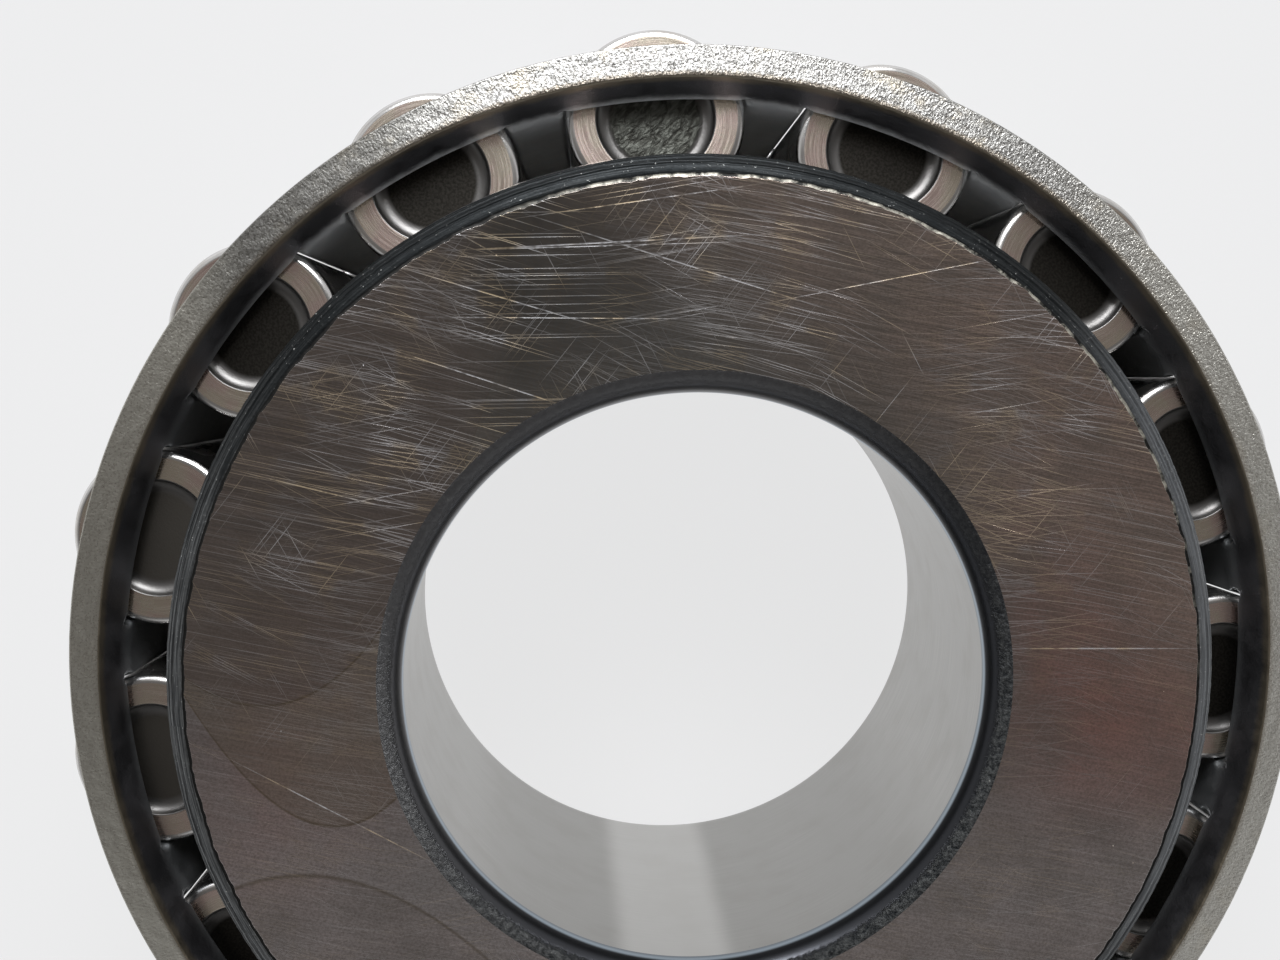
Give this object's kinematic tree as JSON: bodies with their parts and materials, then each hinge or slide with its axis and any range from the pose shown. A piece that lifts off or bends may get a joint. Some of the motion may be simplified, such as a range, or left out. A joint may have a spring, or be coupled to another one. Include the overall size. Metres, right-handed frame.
{
  "type": "tapered roller bearing",
  "caption": "Inner ring assembly of a tapered roller bearing: thick ring with a plain bore and ground faces, stamped steel cage and tapered rollers with recessed ends, without its outer ring.",
  "frame": {"origin": "centre of the front (small) face, on the floor the part stands on", "axes": "+Z along the bore from the front (small) face to the back (large) face; +Y through roller 01"},
  "size_m": [0.056, 0.0558, 0.0206],
  "materials": {
    "ring_steel": "ground, lightly scratched",
    "cage_steel": "satin pressed sheet",
    "roller_steel": "ground and polished"
  },
  "bodies": {
    "inner_ring": {"inner_ring": "ring_steel"},
    "cage": {"cage": "cage_steel"},
    "roller_01": {"roller_01": "roller_steel"},
    "roller_02": {"roller_02": "roller_steel"},
    "roller_03": {"roller_03": "roller_steel"},
    "roller_04": {"roller_04": "roller_steel"},
    "roller_05": {"roller_05": "roller_steel"},
    "roller_06": {"roller_06": "roller_steel"},
    "roller_07": {"roller_07": "roller_steel"},
    "roller_08": {"roller_08": "roller_steel"},
    "roller_09": {"roller_09": "roller_steel"},
    "roller_10": {"roller_10": "roller_steel"},
    "roller_11": {"roller_11": "roller_steel"},
    "roller_12": {"roller_12": "roller_steel"},
    "roller_13": {"roller_13": "roller_steel"},
    "roller_14": {"roller_14": "roller_steel"},
    "roller_15": {"roller_15": "roller_steel"}
  },
  "joints": [
    {"name": "cage_spin", "type": "hinge", "parent": "inner_ring", "child": "cage", "pos_m": [0, 0, 0.01], "axis": [0, 0, 1], "continuous": true},
    {"name": "roller_01_spin", "type": "hinge", "parent": "cage", "child": "roller_01", "pos_m": [0, 0.02312, 0.00991], "axis": [0, 0.1945, 0.9809], "continuous": true},
    {"name": "roller_02_spin", "type": "hinge", "parent": "cage", "child": "roller_02", "pos_m": [-0.0094, 0.02112, 0.00991], "axis": [-0.0791, 0.1777, 0.9809], "continuous": true},
    {"name": "roller_03_spin", "type": "hinge", "parent": "cage", "child": "roller_03", "pos_m": [-0.01718, 0.01547, 0.00991], "axis": [-0.1446, 0.1302, 0.9809], "continuous": true},
    {"name": "roller_04_spin", "type": "hinge", "parent": "cage", "child": "roller_04", "pos_m": [-0.02198, 0.00714, 0.00991], "axis": [-0.185, 0.0601, 0.9809], "continuous": true},
    {"name": "roller_05_spin", "type": "hinge", "parent": "cage", "child": "roller_05", "pos_m": [-0.02299, -0.00242, 0.00991], "axis": [-0.1935, -0.0203, 0.9809], "continuous": true},
    {"name": "roller_06_spin", "type": "hinge", "parent": "cage", "child": "roller_06", "pos_m": [-0.02002, -0.01156, 0.00991], "axis": [-0.1685, -0.0973, 0.9809], "continuous": true},
    {"name": "roller_07_spin", "type": "hinge", "parent": "cage", "child": "roller_07", "pos_m": [-0.01359, -0.0187, 0.00991], "axis": [-0.1143, -0.1574, 0.9809], "continuous": true},
    {"name": "roller_08_spin", "type": "hinge", "parent": "cage", "child": "roller_08", "pos_m": [-0.00481, -0.02261, 0.00991], "axis": [-0.0404, -0.1903, 0.9809], "continuous": true},
    {"name": "roller_09_spin", "type": "hinge", "parent": "cage", "child": "roller_09", "pos_m": [0.00481, -0.02261, 0.00991], "axis": [0.0404, -0.1903, 0.9809], "continuous": true},
    {"name": "roller_10_spin", "type": "hinge", "parent": "cage", "child": "roller_10", "pos_m": [0.01359, -0.0187, 0.00991], "axis": [0.1143, -0.1574, 0.9809], "continuous": true},
    {"name": "roller_11_spin", "type": "hinge", "parent": "cage", "child": "roller_11", "pos_m": [0.02002, -0.01156, 0.00991], "axis": [0.1685, -0.0973, 0.9809], "continuous": true},
    {"name": "roller_12_spin", "type": "hinge", "parent": "cage", "child": "roller_12", "pos_m": [0.02299, -0.00242, 0.00991], "axis": [0.1935, -0.0203, 0.9809], "continuous": true},
    {"name": "roller_13_spin", "type": "hinge", "parent": "cage", "child": "roller_13", "pos_m": [0.02198, 0.00714, 0.00991], "axis": [0.185, 0.0601, 0.9809], "continuous": true},
    {"name": "roller_14_spin", "type": "hinge", "parent": "cage", "child": "roller_14", "pos_m": [0.01718, 0.01547, 0.00991], "axis": [0.1446, 0.1302, 0.9809], "continuous": true},
    {"name": "roller_15_spin", "type": "hinge", "parent": "cage", "child": "roller_15", "pos_m": [0.0094, 0.02112, 0.00991], "axis": [0.0791, 0.1777, 0.9809], "continuous": true}
  ],
  "couplings": [
    {"joint": "roller_01_spin", "follows": "cage_spin", "ratio": 5.2675},
    {"joint": "roller_02_spin", "follows": "cage_spin", "ratio": 5.2675},
    {"joint": "roller_03_spin", "follows": "cage_spin", "ratio": 5.2675},
    {"joint": "roller_04_spin", "follows": "cage_spin", "ratio": 5.2675},
    {"joint": "roller_05_spin", "follows": "cage_spin", "ratio": 5.2675},
    {"joint": "roller_06_spin", "follows": "cage_spin", "ratio": 5.2675},
    {"joint": "roller_07_spin", "follows": "cage_spin", "ratio": 5.2675},
    {"joint": "roller_08_spin", "follows": "cage_spin", "ratio": 5.2675},
    {"joint": "roller_09_spin", "follows": "cage_spin", "ratio": 5.2675},
    {"joint": "roller_10_spin", "follows": "cage_spin", "ratio": 5.2675},
    {"joint": "roller_11_spin", "follows": "cage_spin", "ratio": 5.2675},
    {"joint": "roller_12_spin", "follows": "cage_spin", "ratio": 5.2675},
    {"joint": "roller_13_spin", "follows": "cage_spin", "ratio": 5.2675},
    {"joint": "roller_14_spin", "follows": "cage_spin", "ratio": 5.2675},
    {"joint": "roller_15_spin", "follows": "cage_spin", "ratio": 5.2675}
  ]
}
